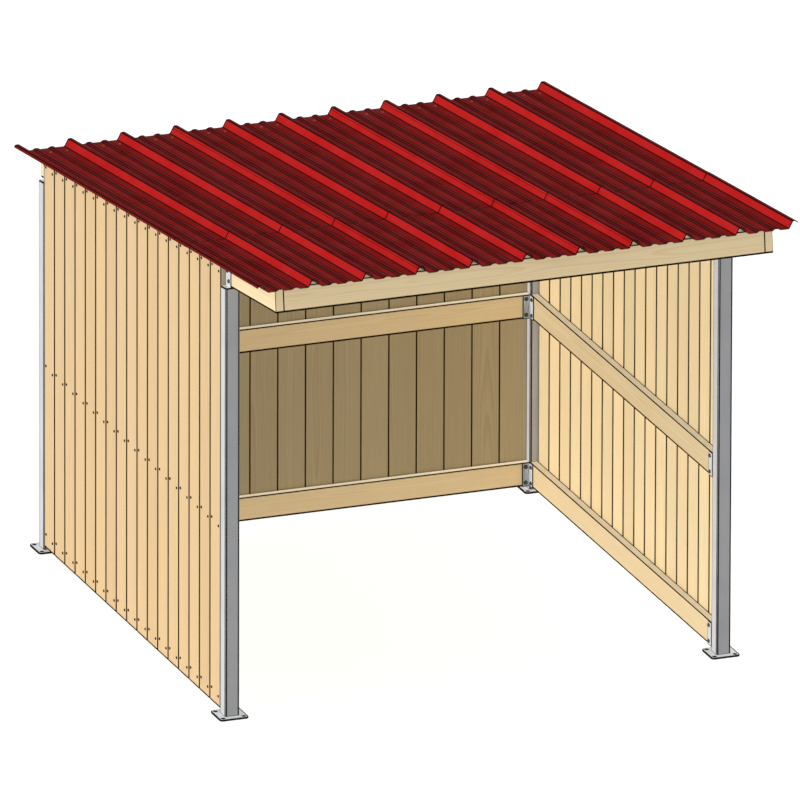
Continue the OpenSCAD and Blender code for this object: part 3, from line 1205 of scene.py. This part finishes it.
@dataclass(frozen=True)
class SteelPiece:
    """A steel solid of the frame, copied so that its edges, corners and holes take a near-black painted
    shade.
    """

    node: str
    kind: SteelKind
    band: float
    flat: float = 0.9999
    corner_middle: float = math.cos(math.radians(38))

    def broad(self, at: Vector, out: Vector, low: Vector, high: Vector) -> bool:
        """Says whether a face is one of the piece's broad ones, and not on its edge.

        Args:
            at: The face's middle.
            out: The face's normal.
            low: The piece's lowest corner.
            high: The piece's highest corner.

        Returns:
            Whether it keeps the plain finish.
        """
        across = abs(out.x) > SQUARE
        if self.kind is SteelKind.POST:
            return max(abs(out.x), abs(out.y)) > self.flat
        if self.kind is SteelKind.BASE_PLATE:
            return faces_up(at, out)
        if self.kind is SteelKind.HEAD_BRACKET:
            return faces_up(at, out) or across and min(at.x - low.x, high.x - at.x) > NEAR
        if self.kind is SteelKind.RAIL_LUGS:
            return across
        off_inner = abs(at.x - inner_x(low, high)) > NEAR
        return across and off_inner or abs(out.y) > SQUARE and at.y - low.y > NEAR

    def shade(self, piece: bpy.types.Object) -> None:
        """Gives posts' corners a plain strip, and fronts a darker painted-shade copy of the galvanised
        finish.

        Args:
            piece: The banded piece.
        """
        post = self.kind is SteelKind.POST
        front_shaded = self.kind in (SteelKind.POST, SteelKind.CORNER_LUGS)
        for face in piece.data.polygons:
            out = face.normal
            if post and max(abs(part) for part in out) < self.corner_middle:
                face.material_index = SteelPlace.FACE
            # Painted shade: faces that look to the front take the darker front copy.
            elif front_shaded and out.y < -SQUARE and face.material_index == SteelPlace.FACE:
                face.material_index = SteelPlace.FRONT

    def build(self, solid: bpy.types.Object) -> bpy.types.Object:
        """Copies the solid and bands its broad faces.

        Args:
            solid: The frame's solid.

        Returns:
            The finished piece.
        """
        low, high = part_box(self.node)
        piece = bpy.data.objects.new(f"{self.node}_steel", solid.data.copy())
        bpy.context.scene.collection.objects.link(piece)
        finish = GALVANISED if self.kind is SteelKind.POST else GALVANISED_PLATE
        dress(piece, finish, STEEL_EDGE_SHADE, GALVANISED_FRONT_SHADE)
        with edit_mode(piece):
            bpy.ops.mesh.select_all(action="SELECT")
            bpy.ops.mesh.remove_doubles(threshold=NEAR)
            # Painted shade: every face takes the near-black edge finish, then the broad faces are inset and
            # given back the plain finish, leaving a dark band round them.
            piece.active_material_index = SteelPlace.EDGE
            bpy.ops.object.material_slot_assign()
            select_faces(piece, lambda at, out: self.broad(at, out, low, high))
            bpy.ops.mesh.inset(thickness=self.band)
            piece.active_material_index = SteelPlace.FACE
            bpy.ops.object.material_slot_assign()
        self.shade(piece)
        bpy.ops.object.shade_smooth_by_angle(angle=SMOOTH)
        hand_over(piece, Slot.STEEL, self.node)
        return piece


@dataclass
class Steelwork:
    """Posts, plates, brackets and lugs, with their bolts."""

    nodes: dict[str, bpy.types.Object]
    roof: RoofFrame
    post_band: float = 0.003
    plate_band: float = 0.007
    bracket_band: float = 0.004
    lug_band: float = 0.005
    lug_thick: float = 0.006
    bolt_rise: float = 0.050
    bolt_edge: float = 0.022
    ear_low: float = 0.037
    ear_rise: float = 0.056
    ear_side: float = 0.014
    ear_thick: float = 0.005

    def pieces(self) -> list[SteelPiece]:
        """Lists the posts, plates, brackets and lugs.

        Returns:
            The pieces.
        """
        bands = {
            SteelKind.POST: self.post_band,
            SteelKind.BASE_PLATE: self.plate_band,
            SteelKind.HEAD_BRACKET: self.bracket_band,
            SteelKind.RAIL_LUGS: self.lug_band,
            SteelKind.CORNER_LUGS: self.lug_band,
        }
        return [
            SteelPiece(name, kind, band)
            for name in self.nodes
            for kind, band in bands.items()
            if name.endswith(kind.value)
        ]

    def lug_bolt_places(self) -> list[Place]:
        """Finds the bolts on the lugs' inner faces.

        Returns:
            The places and the ways out.
        """
        places = []
        for row, kind in (("front", SteelKind.RAIL_LUGS), ("rear", SteelKind.CORNER_LUGS)):
            for side, inwards in (("left", 1.0), ("right", -1.0)):
                low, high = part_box(f"{row}_{side}{kind.value}")
                face, along = inner_x(low, high), high.y - self.bolt_edge
                across = face - inwards * self.bolt_edge
                if row == "rear":
                    face = inner_x(*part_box(f"{side}_lower_rail")) + inwards * self.lug_thick
                    along = low.y + self.bolt_edge
                for rail in ("lower", "upper"):
                    for rise in (-self.bolt_rise, self.bolt_rise):
                        level = rail_level(side, rail) + rise
                        places.append((Vector((face, along, level)), Vector((inwards, 0.0, 0.0))))
                        if row == "rear":
                            back_low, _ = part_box(f"back_{rail}_rail")
                            point = Vector((across, back_low.y - self.lug_thick, level))
                            places.append((point, Vector((0.0, -1.0, 0.0))))
        return places

    def head_bolt_places(self) -> list[Place]:
        """Finds the bolts through the head brackets' upright plates.

        Returns:
            The places and the ways out.
        """
        places = []
        for row in ("front", "rear"):
            for side, outwards in (("left", -1.0), ("right", 1.0)):
                low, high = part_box(f"{row}_{side}_post")
                centre = (low.y + high.y) / 2
                rafter_low, rafter_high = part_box(f"{side}_rafter")
                face = (rafter_low.x if side == "left" else rafter_high.x) + outwards * self.ear_thick
                for way, rise in ((-1, 0.0), (1, self.ear_rise)):
                    level = self.roof.underside(centre) + self.ear_low + rise
                    point = Vector((face, centre + way * self.ear_side, level))
                    places.append((point, Vector((outwards, 0.0, 0.0))))
        return places

    def build(self) -> None:
        """Builds the pieces and adds their bolts."""
        for piece in self.pieces():
            piece.build(self.nodes[piece.node])
        master = HexBolt().build()
        hand_over(spread(master, "lug_bolts", self.lug_bolt_places()), Slot.STEEL)
        hand_over(spread(master, "head_bolts", self.head_bolt_places()), Slot.STEEL)
        bpy.data.objects.remove(master)


@dataclass
class SheetRoof:
    """Two rows of lapped sheets, with a line of screws over the rear purlin."""

    roof: RoofFrame
    ends: tuple[int, ...] = (0, 3, 6, 7, 10)
    screw_down: float = 3.960
    screw_aside: float = 0.102

    def sheets(self) -> list[RoofSheet]:
        """Lists the sheets of both rows.

        Returns:
            The sheets, upper row first.
        """
        left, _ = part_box("upper_roof_sheet_1")
        lean = RoofSheet.rib_flank / RoofSheet.rib_height
        zero = left.x + RoofSheet.rib_top / 2 + RoofSheet.lip_drop * lean
        return [
            RoofSheet(f"{row}_roof_sheet_{place}", first, last, row == "upper", zero, self.roof)
            for row in ("upper", "lower")
            for place, (first, last) in enumerate(zip(self.ends, self.ends[1:]), start=1)
        ]

    def screw_places(self, model: RoofSheet) -> list[Place]:
        """Finds the screws over the rear purlin, three between each two ribs.

        Args:
            model: A sheet that gives the ribs' places.

        Returns:
            The places on the sheets, and the way out.
        """
        level = self.roof.depth + model.seat + model.thick
        places = []
        for rib in range(self.ends[-1]):
            for shift in (-self.screw_aside, 0.0, self.screw_aside):
                across = model.rib_zero + (rib + 0.5) * model.pitch + shift
                places.append((self.roof.matrix @ Vector((across, self.screw_down, level)), self.roof.normal))
        return places

    def build(self) -> None:
        """Builds the sheets and their screws."""
        sheets = self.sheets()
        for sheet in sheets:
            sheet.build()
        fixing = HexBolt(
            across=0.009,
            height=0.005,
            washer_radius=0.009,
            washer_thick=0.002,
            head_finish=ROOF_FIXING,
            washer_finish=ROOF_FIXING,
        ).build()
        hand_over(spread(fixing, "rear_roof_screws", self.screw_places(sheets[0])), Slot.STEEL)
        bpy.data.objects.remove(fixing)


def timbers(roof: RoofFrame, draw: random.Random) -> list[Timber]:
    """Lists the rails, rafters and purlins.

    Args:
        roof: The roof's frame.
        draw: Where the timbers' tones come from.

    Returns:
        The timbers.
    """
    rails = [
        Timber(f"{side.value}_{level}_rail", Axis.Y, draw, roof, finish=RAIL_FACE, wall=side)
        for side in (Side.LEFT, Side.RIGHT)
        for level in ("lower", "upper")
    ]
    rails += [
        Timber(f"back_{level}_rail", Axis.X, draw, roof, finish=RAIL_FACE, wall=Side.BACK)
        for level in ("lower", "upper", "top")
    ]
    rafters = [Timber(f"{side}_rafter", Axis.Y, draw, roof, True) for side in ("left", "right")]
    rows = ("front", "lap", "middle", "rear")
    purlins = [Timber(f"{row}_purlin", Axis.X, draw, roof, True) for row in rows]
    return rails + rafters + purlins


@dataclass(frozen=True)
class Lamp:
    """A soft distant lamp: the way its light travels, its strength and its width in degrees."""

    name: str
    direction: Colour
    strength: float
    angle: float = 20.0
    shadow: bool = False
    gloss: bool = True

    def build(self) -> None:
        """Adds the lamp."""
        data = bpy.data.lights.new(self.name, "SUN")
        data.energy = self.strength
        data.angle = math.radians(self.angle)
        data.use_shadow = self.shadow
        lamp = bpy.data.objects.new(self.name, data)
        lamp.rotation_euler = Vector(self.direction).to_track_quat("-Z", "Y").to_euler()
        lamp.visible_glossy = self.gloss
        bpy.context.scene.collection.objects.link(lamp)


LAMPS = (
    Lamp("left_key", (0.80, 0.15, -0.45), 0.30, angle=40.0, shadow=True),
    Lamp("left_fill", (0.95, 0.16, -0.16), 1.80),
    Lamp("front_fill", (0.10, 0.98, -0.10), 0.34),
    Lamp("top_fill", (0.05, 0.10, -1.00), 1.32),
    Lamp("right_fill", (-0.98, 0.00, -0.12), 1.40, angle=30.0, shadow=True, gloss=False),
    Lamp("back_fill", (0.00, -0.98, -0.12), 1.10, angle=30.0, shadow=True, gloss=False),
)


@dataclass(frozen=True)
class Studio:
    """Floor, light and the camera at the photograph's view."""

    azimuth: float = math.radians(-20.725)
    elevation: float = math.radians(19.504)
    roll: float = 0.003
    frame_width: float = 4.7186
    aim_right: float = 0.0955
    aim_up: float = 1.1879
    middle_depth: float = 0.775
    lens: float = 1600.0
    sensor: float = 36.0
    even_light: float = 0.14
    floor_size: float = 600.0
    floor_tone: float = 0.74
    floor_glow: float = 0.49

    def camera(self, centre: Vector) -> None:
        """Sets a long lens far away, so that the view is close to a parallel one.

        Args:
            centre: The middle of the posts' feet.
        """
        turn, lift = self.azimuth, self.elevation
        right = Vector((math.cos(turn), math.sin(turn), 0.0))
        back = Vector((math.sin(turn) * math.cos(lift), -math.cos(turn) * math.cos(lift), math.sin(lift)))
        up = back.cross(right)
        distance = self.frame_width * self.lens / self.sensor + self.middle_depth
        data = bpy.data.cameras.new("photo_view")
        data.lens = self.lens
        data.sensor_width = self.sensor
        data.clip_end = 2 * distance
        camera = bpy.data.objects.new("photo_view", data)
        bpy.context.scene.collection.objects.link(camera)
        axes = Matrix((right, up, back)).transposed().to_4x4()
        place = centre + right * self.aim_right + up * self.aim_up + back * distance
        camera.matrix_world = Matrix.Translation(place) @ axes @ Matrix.Rotation(self.roll, 4, "Z")
        bpy.context.scene.camera = camera

    def seen(self, wiring: Wiring) -> bpy.types.NodeSocket:
        """Returns 1 for what the camera sees, also in gloss and through glass."""
        path = wiring.add("ShaderNodeLightPath")
        seen = path.outputs["Is Camera Ray"]
        for ray in ("Is Glossy Ray", "Is Transmission Ray"):
            seen = wiring.math("MAXIMUM", seen, path.outputs[ray])
        return seen

    def world(self) -> None:
        """Lights the scene evenly and shows white to the camera and to gloss."""
        world = bpy.data.worlds.new("studio")
        bpy.context.scene.world = world
        world.use_nodes = True
        wiring = Wiring(world.node_tree)
        background = world.node_tree.nodes["Background"]
        background.inputs["Color"].default_value = WHITE
        even = self.even_light
        strength = wiring.math("MULTIPLY_ADD", self.seen(wiring), 1.0 - even, even)
        wiring.feed(background.inputs["Strength"], strength)

    def floor(self) -> None:
        """Lays a plain pale floor."""
        deselect_all()
        bpy.ops.mesh.primitive_plane_add(size=self.floor_size)
        floor = bpy.context.object
        floor.name = "floor"
        made = bpy.data.materials.new("pale_floor")
        made.use_nodes = True
        wiring = Wiring(made.node_tree)
        shader = made.node_tree.nodes["Principled BSDF"]
        shader.inputs["Base Color"].default_value = (self.floor_tone, self.floor_tone, self.floor_tone, 1.0)
        shader.inputs["Roughness"].default_value = 1.0
        shader.inputs["Specular IOR Level"].default_value = 0.0
        shader.inputs["Emission Color"].default_value = WHITE
        glow = wiring.math("MULTIPLY", self.seen(wiring), self.floor_glow)
        wiring.feed(shader.inputs["Emission Strength"], glow)
        floor.data.materials.append(made)

    def build(self, centre: Vector) -> None:
        """Sets up the view, the light and the floor.

        Args:
            centre: The middle of the posts' feet.
        """
        self.camera(centre)
        self.world()
        for lamp in LAMPS:
            lamp.build()
        self.floor()
        bpy.context.scene.view_settings.view_transform = "Standard"


def main() -> None:
    """Builds and dresses every piece round the frame."""
    logging.basicConfig(level=logging.INFO, format="%(name)s %(message)s")
    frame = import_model()
    draw = random.Random(SEED)
    roof = RoofFrame.from_nodes()
    feet = [Vector(mount["pos_m"]) for mount in frame["record"]["mounts"] if mount["kind"] == "bolt_pattern"]
    centre = sum(feet, Vector()) / len(feet)
    centre.z = 0.0
    Studio().build(centre)
    for timber in timbers(roof, draw):
        timber.build()
    screw = ScrewHead().build()
    for side in Side:
        wall = BoardedWall(side, roof, draw)
        wall.build()
        hand_over(spread(screw, f"{side.value}_wall_screws", wall.screw_places()), Slot.STEEL)
    bpy.data.objects.remove(screw)
    SheetRoof(roof).build()
    Steelwork(frame["nodes"], roof).build()


if __name__ == "__main__":
    main()
